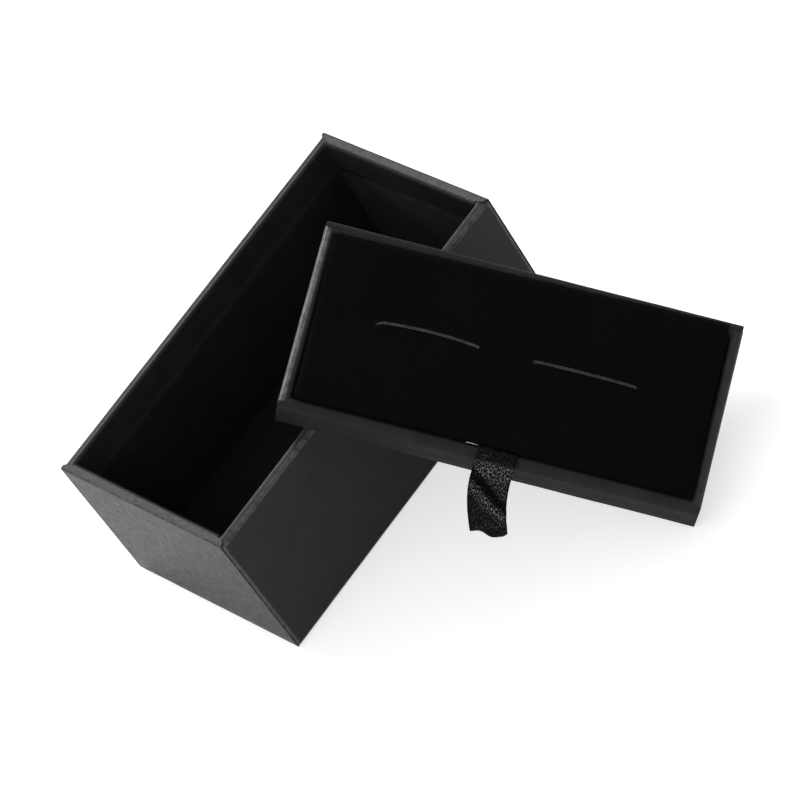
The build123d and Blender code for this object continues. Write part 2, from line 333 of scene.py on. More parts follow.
@dataclass(frozen=True)
class Satin:
    """Black satin ribbon: short floats along its length, with glints and shade painted into the base colour:
    bright at bends, dark over the rim and in the crease.
    """

    name: str = "black_satin"
    dark: tuple = (0.001, 0.001, 0.0012)
    # colour of the painted glints
    light: tuple = (0.60, 0.60, 0.62)
    floats: tuple = (6.2, 2.5)
    rows: float = 1.1
    roughness: tuple = (0.20, 0.42)
    gloss: float = 0.05
    relief: float = 0.25

    def material(self) -> bpy.types.Material:
        """Build the material on the ribbon's own UV map, in millimetres across and along.

        Returns:
            The material.
        """
        nodes = NodeTree(self.name)
        where = nodes.coordinates("UV")
        stretch = nodes.add("ShaderNodeMapping", Scale=(*self.floats, 1.0))
        nodes.link(where, stretch.inputs["Vector"])
        weave = nodes.noise(1.0, 3.0, stretch.outputs["Vector"])
        # painted glints and shade: pale flecks in the base colour, scaled by the painted sheen attribute
        glint = nodes.math("MULTIPLY", nodes.mapped(weave, 0.0, 1.0, 0.52, 0.72), nodes.attribute(PAINTED_SHEEN_ATTRIBUTE))
        crumple = nodes.bump(nodes.noise(self.rows, 2.0, where), self.relief * 1.6)
        return nodes.shade(
            Base_Color=nodes.blend(glint, self.dark, self.light), Specular_IOR_Level=self.gloss,
            Roughness=nodes.mapped(weave, *self.roughness, 0.35, 0.65),
            Normal=nodes.bump(weave, self.relief, crumple))


@dataclass(frozen=True)
class Stock:
    """Board or paper: a matt body with fibre mottle and a shallow tooth."""

    name: str
    dark: tuple
    light: tuple
    mottle: float
    tooth: float
    depth: float
    roughness: tuple = (0.75, 0.92)

    def material(self) -> bpy.types.Material:
        """Build the material.

        Returns:
            The material.
        """
        nodes = NodeTree(self.name)
        fibre = nodes.mapped(nodes.noise(self.mottle, 5.0), 0.0, 1.0, 0.3, 0.7)
        tooth = nodes.noise(self.tooth, 2.0)
        return nodes.shade(
            Base_Color=nodes.blend(fibre, self.dark, self.light),
            Roughness=nodes.mapped(tooth, *self.roughness, 0.3, 0.7), Normal=nodes.bump(tooth, self.depth))


FINISHES = {
    Slot.LEATHERETTE: Leatherette(),
    Slot.GREYBOARD: Stock("greyboard", dark=(0.30, 0.285, 0.26), light=(0.50, 0.48, 0.45),
                          mottle=900.0, tooth=5000.0, depth=0.03),
    Slot.WHITE_BOARD: Stock("white_board", dark=(0.74, 0.73, 0.70), light=(0.90, 0.89, 0.86),
                            mottle=900.0, tooth=5000.0, depth=0.02),
    Slot.STAY_PAPER: Stock("stay_paper", dark=(0.42, 0.34, 0.24), light=(0.58, 0.48, 0.36),
                           mottle=1200.0, tooth=6000.0, depth=0.01),
    Slot.SHEET_PAPER: Stock("sheet_paper", dark=(0.012, 0.012, 0.013), light=(0.03, 0.03, 0.032),
                            mottle=700.0, tooth=5000.0, depth=0.015),
    Slot.FLOCK: Pile("black_flock", dark=(0.005, 0.005, 0.0055), light=(0.025, 0.025, 0.0272),
                     fibre=5200.0, depth=0.10, sheen=0.04, sheen_roughness=0.45),
    Slot.VELVET: Pile("black_velvet", dark=(0.0012, 0.0012, 0.0014), light=(0.005, 0.005, 0.0056),
                      fibre=6500.0, depth=0.06, sheen=0.03, sheen_roughness=0.35),
    Slot.SATIN: Satin(),
}
# pale cut edge round the slits: partly the velvet's paler backing, partly a painted highlight that also
# covers the slit's walls where shade falls
CUT_EDGE_AND_HIGHLIGHT = Pile("velvet_cut_edge", dark=(0.03, 0.03, 0.032), light=(0.16, 0.16, 0.17),
                fibre=3800.0, depth=0.05, sheen=0.2, sheen_roughness=0.5, nap=900.0)
MATT = Leatherette("black_leatherette_matt", roughness=(0.5, 0.62), gloss=0.1)
MATERIALS: dict = {}  # each slot's finished material, filled by main


# ---------------------------------------------------------------- shared making


@dataclass(frozen=True)
class Frame:
    """Where a sub-assembly's own frame, in millimetres, lies in the row frame, in metres."""

    matrix: Matrix

    def world(self) -> Matrix:
        """Return the matrix from own millimetres to row metres."""
        return self.matrix @ Matrix.Scale(MM, 4)

    def point(self, x: float, y: float, z: float) -> Vector:
        """Return one own point in row metres."""
        return self.world() @ Vector((x, y, z))


@dataclass(frozen=True)
class Lean:
    """How the drawer leans: over the case's long rim, one end on the floor."""

    case_width: float = CASE_SIZE[0]
    case_length: float = CASE_SIZE[1]
    case_height: float = CASE_SIZE[2]
    edge_radius: float = 0.9
    gap: float = 0.3
    yaw: float = 21.55
    overhang: float = 6.2
    along: float = 25.5
    half_length: float = DRAWER_SIZE[0] / 2
    half_width: float = DRAWER_SIZE[1] / 2

    def tilt(self) -> float:
        """Work out how far the drawer tilts between the case's rim and the floor.

        Returns:
            The tilt about y, in radians.
        """
        yaw = math.radians(self.yaw)
        rise = self.edge_radius + self.gap
        reach = ((2 * self.half_length - rise) * math.cos(yaw) - rise * math.sin(yaw)
                 + self.edge_radius - self.overhang)
        height = self.case_height - self.edge_radius
        return math.atan2(rise, reach) + math.asin(height / math.hypot(reach, rise))

    def frame(self) -> Frame:
        """Place the drawer by its tilt, its turn and its overhang.

        Returns:
            The drawer's frame in the row frame.
        """
        yaw, tilt = math.radians(self.yaw), self.tilt()
        rise = self.edge_radius + self.gap
        downhill = self.half_length * math.cos(yaw) - self.half_width * math.sin(yaw) - self.overhang
        along = self.half_length * math.sin(yaw) + self.half_width * math.cos(yaw) + self.along
        x = self.case_width / 2 - self.edge_radius + rise * math.sin(tilt) + downhill * math.cos(tilt)
        z = self.case_height - self.edge_radius + rise * math.cos(tilt) - downhill * math.sin(tilt)
        place = Matrix.Translation(Vector((x, along - self.case_length / 2, z)) * MM)
        return Frame(place @ Matrix.Rotation(tilt, 4, "Y") @ Matrix.Rotation(yaw, 4, "Z"))


CASE_FRAME = Frame(Matrix.Identity(4))
DRAWER_FRAME = Lean().frame()


class Shape:
    """A bmesh in a sub-assembly's own millimetres, with the shaping steps that the pieces share."""

    def __init__(self) -> None:
        """Start empty."""
        self.bm = bmesh.new()

    def box(self, low: tuple, high: tuple) -> None:
        """Add a box.

        Args:
            low: its least corner.
            high: its greatest corner.
        """
        size = [b - a for a, b in zip(low, high)]
        middle = [(a + b) / 2 for a, b in zip(low, high)]
        made = bmesh.ops.create_cube(self.bm, size=1.0)
        bmesh.ops.scale(self.bm, vec=size, verts=made["verts"])
        bmesh.ops.translate(self.bm, vec=middle, verts=made["verts"])

    def faces_facing(self, axis: int, sign: int) -> list:
        """Return the faces whose normal points along an axis, by its number and its sign."""
        self.bm.normal_update()
        return [f for f in self.bm.faces if f.normal[axis] * sign > 0.99]

    def edges_where(self, test: Callable) -> list:
        """Return the edges whose two end points both pass a test on their position."""
        return [e for e in self.bm.edges if all(test(v.co) for v in e.verts)]

    def round_edges(self, edges: list, radius: float, segments: int) -> None:
        """Bevel edges round."""
        bmesh.ops.bevel(self.bm, geom=edges, offset=radius, segments=segments, profile=0.5,
                        affect="EDGES", material=-1, clamp_overlap=True)

    def cut(self, axis: int, places: list) -> None:
        """Cut all of the mesh with planes square to an axis.

        Args:
            axis: 0, 1 or 2.
            places: where the planes cross the axis.
        """
        normal = [0.0, 0.0, 0.0]
        normal[axis] = 1.0
        for place in places:
            point = [0.0, 0.0, 0.0]
            point[axis] = place
            geom = self.bm.verts[:] + self.bm.edges[:] + self.bm.faces[:]
            bmesh.ops.bisect_plane(self.bm, geom=geom, dist=1e-4, plane_co=point, plane_no=normal)

    def inset(self, faces: list, width: float) -> None:
        """Leave a border of even width round flat faces."""
        bmesh.ops.inset_individual(self.bm, faces=faces, thickness=width, depth=0.0, use_even_offset=True)

    def sink(self, faces: list, depth: float, floor: bool) -> None:
        """Push faces down into the shape, with walls round them.

        Args:
            faces: a flat patch that faces up.
            depth: how far down it goes.
            floor: whether the pushed faces stay.
        """
        made = bmesh.ops.extrude_face_region(self.bm, geom=faces)["geom"]
        down = [v for v in made if isinstance(v, bmesh.types.BMVert)]
        bmesh.ops.translate(self.bm, vec=(0.0, 0.0, -depth), verts=down)
        gone = list(faces)
        if not floor:
            gone += [f for f in made if isinstance(f, bmesh.types.BMFace)]
        bmesh.ops.delete(self.bm, geom=gone, context="FACES_ONLY")

    def mark(self, test: Callable) -> None:
        """Write the rub attribute, which paints rubbed wear and painted highlight.

        Args:
            test: gives a point's rub and painted highlight, from 0 to 1, by its place.
        """
        layer = self.bm.verts.layers.float.new(RUB_AND_HIGHLIGHT)
        for vert in self.bm.verts:
            vert[layer] = test(vert.co)

    def drop_inside(self, low: tuple, high: tuple) -> None:
        """Cut the mesh at a box's planes and delete the faces inside the box.

        Args:
            low: the box's least corner.
            high: its greatest corner.
        """
        for axis in range(3):
            self.cut(axis, [low[axis], high[axis]])
        inside = [f for f in self.bm.faces
                  if all(a < c < b for a, c, b in zip(low, f.calc_center_median(), high))]
        bmesh.ops.delete(self.bm, geom=inside, context="FACES")

    def ripple(self, depth: float, size: float, seed: float) -> None:
        """Push points in and out along their normals by a soft noise.

        Args:
            depth: most that a point moves.
            size: length of a ripple.
            seed: where the noise is read.
        """
        self.bm.normal_update()
        offset = Vector((seed, seed * 0.7, seed * 1.3))
        for vert in self.bm.verts:
            vert.co += vert.normal * depth * noise.noise(vert.co / size + offset)

    def band(self, rows: list, columns: int) -> None:
        """Bend a grid into a band that runs through rows.

        Args:
            rows: (half width, y, z) of each row across the band.
            columns: cells across.
        """
        count = len(rows) - 1
        bmesh.ops.create_grid(self.bm, x_segments=columns, y_segments=count, size=0.5)
        for vert in self.bm.verts:
            half, y, z = rows[round((vert.co.y + 0.5) * count)]
            vert.co = Vector((eased(vert.co.x * 2) * half, y, z))

    def piece(self, name: str, frame_: Frame, slot: Slot) -> bpy.types.Object:
        """Turn the bmesh into a smooth-shaded object in the row frame, with its finish.

        Args:
            name: the object's name.
            frame_: the sub-assembly's frame.
            slot: the material slot that it takes its finish from.

        Returns:
            The object, at the origin.
        """
        mesh = bpy.data.meshes.new(name)
        self.bm.transform(frame_.world())
        for face in self.bm.faces:
            face.smooth = True
        self.bm.to_mesh(mesh)
        self.bm.free()
        mesh.materials.append(MATERIALS[slot])
        obj = placed(name, mesh)
        log.info("%s: %d faces", name, len(mesh.polygons))
        return obj


def placed(name: str, data: bpy.types.ID) -> bpy.types.Object:
    """Link a new object to the scene.

    Args:
        name: the object's name.
        data: what it is made of.

    Returns:
        The object.
    """
    obj = bpy.data.objects.new(name, data)
    bpy.context.scene.collection.objects.link(obj)
    return obj


def spaced(low: float, high: float, step: float, extra: tuple = ()) -> list:
    """Return cut places about a step apart between two ends, with some exact ones added.

    Args:
        low: first end, left out.
        high: other end, left out.
        step: about how far apart.
        extra: exact places to add.

    Returns:
        The sorted places.
    """
    count = max(1, round((high - low) / step))
    places = [low + (high - low) * i / count for i in range(1, count)]
    clear = [p for p in places if all(abs(p - e) > step * 0.3 for e in extra)]
    return sorted(clear + list(extra))


def clamped(value: float) -> float:
    """Hold a value between 0 and 1."""
    return min(1.0, max(0.0, value))


def eased(share: float) -> float:
    """Crowd a share from -1 to 1 towards both ends, so that the painted rub and highlight at a border stay
    narrow.
    """
    return math.copysign(1 - (1 - abs(share)) ** 1.6, share)


def add_modifier(obj: bpy.types.Object, kind: str, **values: object) -> None:
    """Add a modifier with its properties.

    Args:
        obj: the object.
        kind: the modifier's type.
        values: its properties.
    """
    modifier = obj.modifiers.new(kind.lower(), kind)
    for key, value in values.items():
        setattr(modifier, key, value)


def smooth_line(points: list, per_span: int) -> list:
    """Run a Catmull-Rom curve through points.

    Args:
        points: the points, as tuples of one length.
        per_span: steps between two points.

    Returns:
        The curve's points.
    """
    ends = [points[0], *points, points[-1]]
    line = []
    for i in range(1, len(ends) - 2):
        a, b, c, d = (Vector(p) for p in ends[i - 1:i + 3])
        for step in range(per_span):
            t = step / per_span
            line.append(0.5 * (2 * b + (c - a) * t + (2 * a - 5 * b + 4 * c - d) * t * t
                               + (3 * b - a - 3 * c + d) * t * t * t))
    line.append(Vector(points[-1]))
    return line


# ---------------------------------------------------------------- sub-assemblies


@dataclass
class WrappedShell:
    """The leatherette skin of an open box: outside, over the rim, turned in and turned under."""

    name: str
    node: str
    body: Body
    frame: Frame
    size: tuple
    rim: float
    turn_in: float
    turn_under: float
    cell: float
    seed: float
    edge_radius: float = 0.6
    inner_radius: float = 0.35
    cover_radius: float = 0.3
    cover_inset: float = 0.15
    thickness: float = 0.3
    ripple: float = 0.03
    cover_thickness: float = 0.15
    ripple_size: float = 9.0
    support: float = 0.25
    # how pale the rounded edges are painted, partly rubbed wear and partly painted highlight; the left edge
    # has its own strength for a stronger painted highlight
    wear_and_highlight: float = 0.6
    left_wear_and_highlight: float = 0.6
    matt_covers: bool = False
    rim_fall: float = 0.0
    crown_depth: float = 1.5
    lift: float = 0.3
    slot_low: tuple = ()
    slot_high: tuple = ()

    def skin(self) -> Shape:
        """Shape the outer face of the skin as an open sheet.

        Returns:
            The sheet.
        """
        x, y, z = self.size
        shape = Shape()
        shape.box((-x / 2, -y / 2, self.lift), (x / 2, y / 2, z))
        under = shape.faces_facing(2, -1)
        shape.inset(under, self.turn_under)
        bmesh.ops.delete(shape.bm, geom=under, context="FACES_ONLY")
        top = shape.faces_facing(2, 1)
        shape.inset(top, self.rim)
        shape.sink(top, self.turn_in, floor=False)
        return shape

    def rounded(self, shape: Shape) -> None:
        """Round the outer edges, then the rim's inner edges and corners.

        Args:
            shape: the skin.
        """
        x, y, z = self.size
        inner_x, inner_y = x / 2 - self.rim, y / 2 - self.rim
        outer = shape.edges_where(lambda p: abs(p.x) > x / 2 - ON and abs(p.y) > y / 2 - ON)
        shape.round_edges(outer, self.edge_radius, 5)
        inner = shape.edges_where(lambda p: abs(abs(p.x) - inner_x) < ON
                                  and abs(abs(p.y) - inner_y) < ON and p.z > z - self.turn_in - ON)
        inner = [e for e in inner if max(v.co.z for v in e.verts) > z - ON]
        shape.round_edges(inner, self.inner_radius, 4)

    def gridded(self, shape: Shape) -> None:
        """Cut the skin into cells, with support loops beside its rounded edges.

        Args:
            shape: the skin.
        """
        near = self.edge_radius + self.support
        x, y, z = self.size
        for axis, low, high in ((0, -x / 2, x / 2), (1, -y / 2, y / 2), (2, self.lift, z)):
            ends = (low + near, high - near)
            shape.cut(axis, spaced(*ends, self.cell, ends))

    def crown_long_rims(self, shape: Shape) -> None:
        """Let the long walls' rims fall off softly towards the outside.

        Args:
            shape: the skin.
        """
        half, top = self.size[0] / 2, self.size[2]
        shape.cut(0, [side * (half - away) for side in (-1, 1) for away in (0.95, 1.3, 1.65)])
        inner = half - self.rim
        for vert in shape.bm.verts:
            over = (abs(vert.co.x) - inner) / self.rim
            if over > 0 and vert.co.z > top - self.crown_depth:
                vert.co.z -= self.rim_fall * over * over * (1 - (top - vert.co.z) / self.crown_depth)

    def wear_and_highlight_at(self, place: Vector) -> float:
        """Tell how pale the leatherette is painted: full on the rounded edges, a little on the rim; partly
        rubbed wear, partly painted highlight, with its own strength on the left edge.

        Args:
            place: a point on the skin.

        Returns:
            The rub and painted highlight, from 0 to 1.
        """
        x, y, z = self.size
        reach = self.edge_radius + 0.02
        near = [x / 2 - abs(place.x) < reach, y / 2 - abs(place.y) < reach,
                z - place.z < reach or place.z - self.lift < reach]
        # the left edge carries a stronger painted highlight
        if sum(near) >= 2:
            return self.left_wear_and_highlight if place.x < -x / 2 + reach else self.wear_and_highlight
        return 0.1 if z - place.z < 0.05 else 0.0

    def cover_rows(self, across: float, out: float, height: float) -> list:
        """Return the rows of an end cover, up the wall's face, over the rim and down inside.

        Args:
            across: half of the wall's length.
            out: from the shell's middle to the wall's face.
            height: the shell's height.

        Returns:
            (half width, y, z) rows for the wall at -y.
        """
        radius, inner, foot = self.cover_radius, self.inner_radius, self.edge_radius
        full, inside = across - self.cover_inset, across - self.rim - 0.05
        low = self.lift + foot
        rows = [(full, -out + foot * (1 - math.cos(turn)), low - foot * math.sin(turn))
                for turn in (1.05, 0.7, 0.35, 0.0)]
        steps = max(3, round(height / 3.0))
        straight = height - radius - 0.2 - low
        rows += [(full, -out, low + straight * i / steps) for i in range(1, steps + 1)]
        rows += [(full, -out + radius * (1 - math.cos(turn)), height - radius * (1 - math.sin(turn)))
                 for turn in QUARTER_TURN]
        flat = max(0.1, self.rim - radius - inner)
        for share in (i / 10 for i in range(1, 11)):
            narrow = (full - inside) * (1 - math.sqrt(max(0.0, 1 - share ** 2.4)))
            rows.append((full - narrow, -out + radius + flat * share, height))
        rows += [(inside, -out + self.rim - inner * (1 - math.sin(turn)),
                  height - inner * (1 - math.cos(turn))) for turn in QUARTER_TURN[1:]]
        deep = self.turn_in - inner - 0.4
        return rows + [(inside, -out + self.rim, height - inner - deep * i / 3) for i in range(1, 4)]

    def cover_wear(self, place: Vector) -> float:
        """Tell how pale the cover at -y is painted along its foot, its brow and its upright borders: partly
        rubbed wear, partly painted highlight.

        Args:
            place: a point on the cover.

        Returns:
            The rub and painted highlight, from 0 to 1.
        """
        across, out, height = self.size[0] / 2, self.size[1] / 2, self.size[2]
        below = height - place.z
        foot = place.z < self.lift + 0.25
        brow = 0 < below < 0.25 and place.y < -out + 0.3
        border = across - abs(place.x) < 0.25 and below > 1.0
        top = below < 0.05
        return self.wear_and_highlight * max(1.0 if foot or brow else 0.1 if top else 0.0, 0.9 if border else 0.0)

    def covers(self) -> None:
        """Lay the end pieces of leatherette over the two y walls, round-cornered on the rim."""
        across, out, height = self.size[0] / 2, self.size[1] / 2, self.size[2]
        material = MATT.material() if self.matt_covers else MATERIALS[Slot.LEATHERETTE]
        for side, label in ((-1, "near"), (1, "far")):
            shape = Shape()
            shape.band(self.cover_rows(across, out, height), 48 if across > 30 else 30)
            shape.mark(self.cover_wear)
            if side > 0:
                half_turn = Matrix.Rotation(math.pi, 3, "Z")
                bmesh.ops.rotate(shape.bm, verts=shape.bm.verts, cent=(0, 0, 0), matrix=half_turn)
            elif self.slot_low:
                shape.drop_inside(self.slot_low, self.slot_high)
            shape.ripple(self.ripple, self.ripple_size, self.seed)
            obj = shape.piece(f"{self.name}_{label}_cover", self.frame, Slot.LEATHERETTE)
            obj.data.materials[0] = material
            add_modifier(obj, "SOLIDIFY", thickness=self.cover_thickness * MM, offset=1.0,
                         use_even_offset=True)
            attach(obj, self.body.value)

    def build(self) -> None:
        """Build the skin and put it in place of its CAD node."""
        shape = self.skin()
        self.rounded(shape)
        self.gridded(shape)
        if self.slot_low:
            shape.drop_inside(self.slot_low, self.slot_high)
        shape.mark(self.wear_and_highlight_at)
        if self.rim_fall:
            self.crown_long_rims(shape)
        shape.ripple(self.ripple, self.ripple_size, self.seed)
        obj = shape.piece(self.name, self.frame, Slot.LEATHERETTE)
        add_modifier(obj, "SOLIDIFY", thickness=self.thickness * MM, offset=-1.0, use_even_offset=True)
        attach(obj, self.body.value)
        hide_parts(self.node)
        self.covers()


@dataclass
class FlockLining:
    """The flocked cards inside the case, joined to one lining with a frayed upper edge."""

    name: str = "case_flock_lining"
    half_x: float = 20.08
    half_y: float = 40.38
    floor: float = 2.12
    top: float = 28.7
    card: float = 1.2
    cell: float = 1.6
    fray: float = 0.35
    fray_depth: float = 0.6
    long_rise: float = 0.7
    rim_radius: float = 0.4
    swell: float = 0.12
    swell_size: float = 2.5
    swell_from: float = 3.0

    def frayed(self, shape: Shape) -> None:
        """Fray the upper edge, higher on the long walls, and swell the flock softly below it.

        Args:
            shape: the lining.
        """
        for vert in shape.bm.verts:
            x, y, z = abs(vert.co.x), abs(vert.co.y), vert.co.z
            if z > self.top - self.fray_depth:
                wave = noise.noise(vert.co / 3.0) + 0.6 * noise.noise(vert.co / 1.1)
                long_wall = x > self.half_x - self.card - 0.1
                vert.co.z += self.fray * wave + (self.long_rise if long_wall else 0.0)
            elif x < self.half_x - 0.1 and y < self.half_y - 0.1 and z > self.swell_from:
                vert.co += vert.normal * self.swell * noise.noise(vert.co / self.swell_size)

    def build(self) -> None:
        """Build the lining and put it in place of the liner cards."""
        shape = Shape()
        shape.box((-self.half_x, -self.half_y, self.floor), (self.half_x, self.half_y, self.top))
        top = shape.faces_facing(2, 1)
        shape.inset(top, self.card)
        shape.sink(top, self.top - self.floor - self.card, floor=True)
        inner_x, inner_y = self.half_x - self.card, self.half_y - self.card
        rims = shape.edges_where(lambda p: p.z > self.top - ON
                                 and abs(p.x) < inner_x + ON and abs(p.y) < inner_y + ON)
        shape.round_edges(rims, self.rim_radius, 3)
        shape.cut(0, spaced(-self.half_x, self.half_x, self.cell))
        shape.cut(1, spaced(-self.half_y, self.half_y, self.cell))
        shape.cut(2, spaced(self.floor + self.card, self.top - self.rim_radius - 0.1, self.cell))
        self.frayed(shape)
        obj = shape.piece(self.name, CASE_FRAME, Slot.FLOCK)
        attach(obj, Body.CASE.value)
        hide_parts("liner_floor", "liner_wall_left", "liner_wall_right",
                    "liner_wall_near", "liner_wall_far")


@dataclass
class VelvetPad:
    """The foam pad under its velvet cover, with two bowed slits for the cufflinks' toggles."""

    name: str = "velvet_pad"
    half_x: float = 37.75
    half_y: float = 16.45
    low: float = 3.0
    shoulder_height: float = 10.2
    crown: float = 0.9
    shoulder: float = 0.85
    rim_top: float = DRAWER_SIZE[2]
    spill: tuple = (0.1, 1.8)
    spill_reach: float = 2.5
    spill_depth: float = 0.25
    spill_rise: tuple = (0.3, 0.6)
    skew: float = 0.03
    skew_from: float = 8.5
    fibres: int = 3600
    fibre_width: float = 0.07
    fibre_inset: float = 0.3
    fibre_rise: float = 0.4
    fibre_length: tuple = (0.35, 0.75)
    fibre_stray: tuple = ((-0.2, 0.2), (-0.2, 0.2), (-0.22, 0.1))
    slit_stray: tuple = ((-0.25, 0.25), (-0.1, 0.28), (0.03, 0.16))
    corner: float = 0.9
    slit_length: float = 19.2
    slit_opening: float = 0.16
    slit_bows: tuple = (0.6, 0.15)
    slit_hooks: tuple = ((0.4, 0.1), (0.05, 0.05))
    slit_depth: float = 6.0
    slit_y: float = 1.3
    slit_x: tuple = (-16.2, 13.5)
    slit_pull: float = 6.0
    hook_from: float = 0.9
    hook_fade: float = 1.2
    lip: float = 0.16
    lip_width: float = 0.5
    cell: float = 1.5
    loops_beside: tuple = (0.0, 0.13, 0.32, 0.8, 1.4)
    loops_at_ends: tuple = (-1.6, -1.1, -0.7, -0.35, 0.0, 0.5, 1.2)

    def block(self) -> Shape:
        """Shape the pad's block with its round corners and shoulders.

        Returns:
            The block.
        """
        shape = Shape()
        shape.box((-self.half_x, -self.half_y, self.low), (self.half_x, self.half_y, self.shoulder_height))
        upright = shape.edges_where(lambda p: abs(p.x) > self.half_x - ON and abs(p.y) > self.half_y - ON)
        upright = [e for e in upright if abs(e.verts[0].co.z - e.verts[1].co.z) > 1.0]
        shape.round_edges(upright, self.corner, 6)
        rims = [e for e in shape.bm.edges
                if all(v.co.z > self.shoulder_height - ON for v in e.verts) and len(e.link_faces) == 2
                and any(abs(f.normal.z) < 0.5 for f in e.link_faces)]
        shape.round_edges(rims, self.shoulder, 6)
        return shape

    def cells(self, shape: Shape) -> None:
        """Cut the block into cells, fine beside the slits.

        Args:
            shape: the block.
        """
        half = self.slit_opening / 2
        beside = [self.slit_y + side * (half + away) for side in (-1, 1) for away in self.loops_beside]
        ends = [x + side * (self.slit_length / 2 + away) for x in self.slit_x
                for side in (-1, 1) for away in self.loops_at_ends]
        limit_x, limit_y = self.half_x - self.shoulder - 0.2, self.half_y - self.shoulder - 0.2
        shape.cut(0, spaced(-limit_x, limit_x, self.cell, tuple(ends)))
        shape.cut(1, spaced(-limit_y, limit_y, self.cell, tuple(beside)))
        shape.cut(2, spaced(self.low, self.shoulder_height - self.shoulder, self.cell))

    def open_slits(self, shape: Shape) -> None:
        """Sink the two slits into the top.

        Args:
            shape: the block.
        """
        for x in self.slit_x:
            inside = []
            for face in shape.faces_facing(2, 1):
                place = face.calc_center_median()
                over_slit = (abs(place.x - x) < self.slit_length / 2
                             and abs(place.y - self.slit_y) < self.slit_opening / 2)
                if over_slit and place.z > self.shoulder_height - 0.1:
                    inside.append(face)
            shape.sink(inside, self.slit_depth, floor=True)

    def paint_lips(self, shape: Shape) -> None:
        """Give the cut edge round each slit, and the slit's walls near the top, the second material: partly
        the velvet's paler backing, partly a painted highlight over the slit's shade.

        Args:
            shape: the block.
        """
        for face in shape.bm.faces:
            x, y, z = face.calc_center_median()
            beside = abs(y - self.slit_y) < self.slit_opening / 2 + 0.12
            if any(abs(x - middle) < self.slit_length / 2 + 0.1 for middle in self.slit_x) and beside:
                # the slit's walls near the top, which lie in shade, take the pale cut-edge colour too:
                # painted highlight
                face.material_index = 1 if z > self.shoulder_height - 0.7 else 0

    def swelled(self, place: Vector) -> Vector:
        """Return where a point of the block goes: crowned, squeezed askew, with bowed slits.

        Args:
            place: the point on the flat block.

        Returns:
            The point on the finished pad.
        """
        x, y, z = place
        new, top = Vector(place), self.shoulder_height
        crown = self.crown * max(0.0, 1 - (x / self.half_x) ** 4) * max(0.0, 1 - (y / self.half_y) ** 4)
        new.z += crown * max(0.0, (z - self.low) / (top - self.low))
        new.x -= self.skew * y * clamped(z - self.skew_from)
        towards_back, above = y - self.half_y + self.spill_reach, z - self.rim_top + self.spill_depth
        if towards_back > 0 and above > 0:
            over = self.spill[0] + (self.spill[1] - self.spill[0]) * (x / self.half_x + 1) / 2
            new.y += over * towards_back / self.spill_reach
            new.z += self.spill_rise[0] * max(0.0, 1 - above / self.spill_rise[1])
        for middle, bow, hooks in zip(self.slit_x, self.slit_bows, self.slit_hooks):
            along, away = (x - middle) / (self.slit_length / 2), abs(y - self.slit_y)
            if abs(along) < 1.3 and away < self.slit_pull:
                at_end = clamped((abs(along) - self.hook_from) / 0.1)
                hook = hooks[along > 0] * at_end ** 2 * math.exp(-away / self.hook_fade)
                new.y += bow * (1 - min(1.0, along * along)) * (1 - away / self.slit_pull) ** 2 - hook
                if z > top - 0.1 and abs(along) < 1.08:
                    fade = 1 - max(0.0, abs(along) - 0.85) / 0.23
                    new.z += self.lip * math.exp(-(away / self.lip_width) ** 2) * fade
        return new

    def edge_fibres(self, chance: random.Random) -> list:
        """Scatter loose fibres along the pad's outline.

        Args:
            chance: the source of random draws.

        Returns:
            A (root, tip) pair for each fibre.
        """
        pairs = []
        for _ in range(self.fibres):
            x, y = chance.uniform(-self.half_x, self.half_x), chance.uniform(-self.half_y, self.half_y)
            along_x = chance.random() < self.half_x / (self.half_x + self.half_y)
            side = chance.choice((-1.0, 1.0))
            if along_x:
                way, y = Vector((0.0, side, 0.0)), side * (self.half_y - self.fibre_inset)
            else:
                way, x = Vector((side, 0.0, 0.0)), side * (self.half_x - self.fibre_inset)
            lean = Vector([chance.uniform(*span) for span in self.fibre_stray])
            root = self.swelled(Vector((x, y, self.rim_top + self.fibre_rise)))
            pairs.append((root, root + way * chance.uniform(*self.fibre_length) + lean))
        return pairs

    def slit_fibres(self, chance: random.Random) -> list:
        """Scatter cut fibres beside the slits.

        Args:
            chance: the source of random draws.

        Returns:
            A (root, tip) pair for each fibre.
        """
        pairs = []
        for _ in range(self.fibres // 4):
            side, middle = chance.choice((-1.0, 1.0)), chance.choice(self.slit_x)
            x = middle + chance.uniform(-0.52, 0.52) * self.slit_length
            y = self.slit_y + side * (self.slit_opening / 2 + 0.04)
            root = self.swelled(Vector((x, y, self.shoulder_height)))
            lean = Vector([chance.uniform(*span) for span in self.slit_stray])
            lean.y *= side
            pairs.append((root, root + lean))
        return pairs

    def fibre(self, shape: Shape, root: Vector, tip: Vector, slot: int) -> None:
        """Add one fibre to a shape as a three-sided blade that faces up.

        Args:
            shape: the shape that gains the blade.
            root: where the blade is widest.
            tip: where it ends.
            slot: 0 for pile, 1 for a slit's cut edge.
        """
        side = (tip - root).cross(Vector((0.0, 0.0, 1.0))).normalized() * self.fibre_width / 2
        verts = [shape.bm.verts.new(p) for p in (root - side, root + side, tip)]
        face = shape.bm.faces.new(verts)
        face.normal_update()
        if face.normal.z < 0:
            face.normal_flip()
        face.material_index = slot

    def fringe(self) -> None:
        """Let loose fibres stand out over the rim and beside the slits."""
        chance = random.Random(11)
        shape = Shape()
        for slot, pairs in enumerate((self.edge_fibres(chance), self.slit_fibres(chance))):
            for root, tip in pairs:
                self.fibre(shape, root, tip, slot)
        obj = shape.piece("velvet_loose_fibres", DRAWER_FRAME, Slot.VELVET)
        obj.data.materials.append(bpy.data.materials[CUT_EDGE_AND_HIGHLIGHT.name])
        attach(obj, Body.DRAWER.value)

